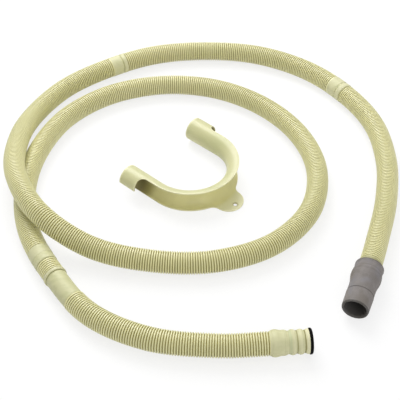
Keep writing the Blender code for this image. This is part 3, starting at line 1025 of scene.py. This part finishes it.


# Marks the painted highlights on the cut edges and the lug, the painted bounce light in the channel's
# inside, and the painted shade in the clips and the hole
def markHolder(v, mesh):
    edge, inner, paintedShade = [], [], []
    clipEnd = v["clipLength"] - v["armLength"]
    for vertex in mesh.vertices:
        x, y, z = vertex.co
        away = abs(y) - v["bendRadius"] if x < 0.0 else sqrt(x * x + y * y) - v["bendRadius"]
        fromAxis = sqrt(away ** 2 + (z - v["radius"]) ** 2)
        openSide = away > v["rimOffset"] + v["openingRim"] and x > clipEnd + v["clipCorner"]
        inside = fromAxis < v["radius"] - 0.6 * v["wall"] and not openSide
        share = min(1.0, max(0.0, (clipEnd - v["deepStart"] + v["deepReach"] - x) / v["deepReach"]))
        low = z < 0.5 * v["radius"]
        onLug = min(1.0, max(0.0, away / v["lugFade"])) if low else 0.0
        fromHole = sqrt((x - v["bendRadius"] - v["lugHolePlace"]) ** 2 + y * y)
        inHole = fromHole < v["lugHoleRadius"] + v["holeRim"]
        inner.append(v["innerMark"] * (1.0 - onLug) if inside or (low and away > 0.0) else 0.0)
        paintedShade.append(v["holeShade"] if inHole else share if inside else 0.0)
        edge.append(max([v["lugLight"] * onLug, *(group.weight for group in vertex.groups)]))
    storeMarks(mesh, "paintedEdgeLight", edge)
    storeMarks(mesh, "innerFace", inner)
    storeMarks(mesh, "paintedShadeInside", paintedShade)


def makeHolder(v):
    channel = addPiece("hoseHolder", channelMesh(v), materials["holder"])
    shell = channel.modifiers.new("wall", "SOLIDIFY")
    shell.thickness = v["wall"]
    shell.offset = 0.0
    shell.use_even_offset = True
    channel.vertex_groups.new(name="rim")
    shell.rim_vertex_group = "rim"
    addRounding(channel, v["edgeRound"], v["edgeAngle"])
    flatten(channel)
    cutter = holeCutter(v)
    hole = channel.modifiers.new("hole", "BOOLEAN")
    hole.operation = "DIFFERENCE"
    hole.solver = "EXACT"
    hole.object = cutter
    flatten(channel)
    bpy.data.objects.remove(cutter, do_unlink=True)
    markHolder(v, channel.data)
    bm = bmesh.new()
    bm.from_mesh(channel.data)
    bmesh.ops.dissolve_degenerate(bm, edges=bm.edges, dist=0.000002)
    turned = Euler((0.0, 0.0, radians(v["turn"]))).to_matrix().to_4x4()
    turn = Matrix.Translation((*v["place"], 0.0)) @ turned
    bmesh.ops.transform(bm, matrix=turn, verts=bm.verts)
    bmesh.ops.recalc_face_normals(bm, faces=bm.faces)
    bm.to_mesh(channel.data)
    bm.free()
    finishPiece(channel, "hose_holder", v["smoothAngle"])


makeHolder(holder)
# Studio: a pale floor, a white surround for the camera and soft lamps
studio = {
    "floor": 0.90,
    "floorSeen": 0.26,
    "floorGlow": 0.765,
    "surround": 0.33,
    "reach": 6.0,
    "floorHeight": -0.0004,
    "lamps": (
        # place, aimed at, size, power
        ((-0.45, 1.15, 1.35), (0.0, 0.0, 0.0), 1.1, 24.0),
        ((0.20, 0.10, 2.00), (0.0, 0.0, 0.0), 1.6, 8.0),
        ((1.00, -2.80, 1.60), (0.0, 0.0, 0.0), 2.4, 24.0),
    ),
}


def seenDirectly(graph):
    rays = graph.tree.nodes.new("ShaderNodeLightPath")
    camera, glossy, through = [
        Wire(graph, rays.outputs[name])
        for name in ("Is Camera Ray", "Is Glossy Ray", "Is Transmission Ray")
    ]
    return camera.maths("MAXIMUM", camera.maths("MAXIMUM", camera, glossy), through)


def makeFloor(v):
    mesh = bpy.data.meshes.new("studioFloor")
    reach, height = v["reach"], v["floorHeight"]
    corners = (
        (-reach, -reach, height), (reach, -reach, height), (reach, reach, height), (-reach, reach, height),
    )
    mesh.from_pydata(corners, [], [(0, 1, 2, 3)])
    material = bpy.data.materials.new("studio floor")
    material.use_nodes = True
    graph = Graph(material.node_tree)
    graph.tree.nodes.clear()
    # Seen directly, the floor glows a little and its shadows are light. To the lamps it is plain paper
    seen = seenDirectly(graph)
    grey = v["floor"] + (v["floorSeen"] - v["floor"]) * seen
    tone = graph.add("ShaderNodeCombineColor", {}, {0: grey, 1: grey, 2: grey})
    paper = graph.add("ShaderNodeBsdfDiffuse", {}, {"Color": tone})
    glow = graph.add("ShaderNodeEmission", {}, {"Strength": seen * v["floorGlow"]})
    both = graph.add("ShaderNodeAddShader", {}, {0: paper, 1: glow})
    out = graph.tree.nodes.new("ShaderNodeOutputMaterial")
    graph.tree.links.new(both.socket, out.inputs["Surface"])
    addPiece("studioFloor", mesh, material)


def makeSurround(v):
    world = bpy.data.worlds.new("studioSurround")
    bpy.context.scene.world = world
    world.use_nodes = True
    graph = Graph(world.node_tree)
    light = world.node_tree.nodes["Background"]
    light.inputs["Color"].default_value = (1.0, 1.0, 1.0, 1.0)
    seen = seenDirectly(graph)
    strength = seen + (1.0 - seen) * v["surround"]
    graph.tree.links.new(strength.socket, light.inputs["Strength"])


def makeLamps(v):
    for n, (place, target, size, power) in enumerate(v["lamps"]):
        data = bpy.data.lights.new(f"softLamp{n}", "AREA")
        data.size = size
        data.energy = power
        lamp = bpy.data.objects.new(f"softLamp{n}", data)
        lamp.location = place
        lamp.rotation_euler = (Vector(target) - Vector(place)).to_track_quat("-Z", "Y").to_euler()
        bpy.context.scene.collection.objects.link(lamp)


makeFloor(studio)
makeSurround(studio)
makeLamps(studio)
bpy.context.scene.view_settings.view_transform = "Standard"
print("studio made")
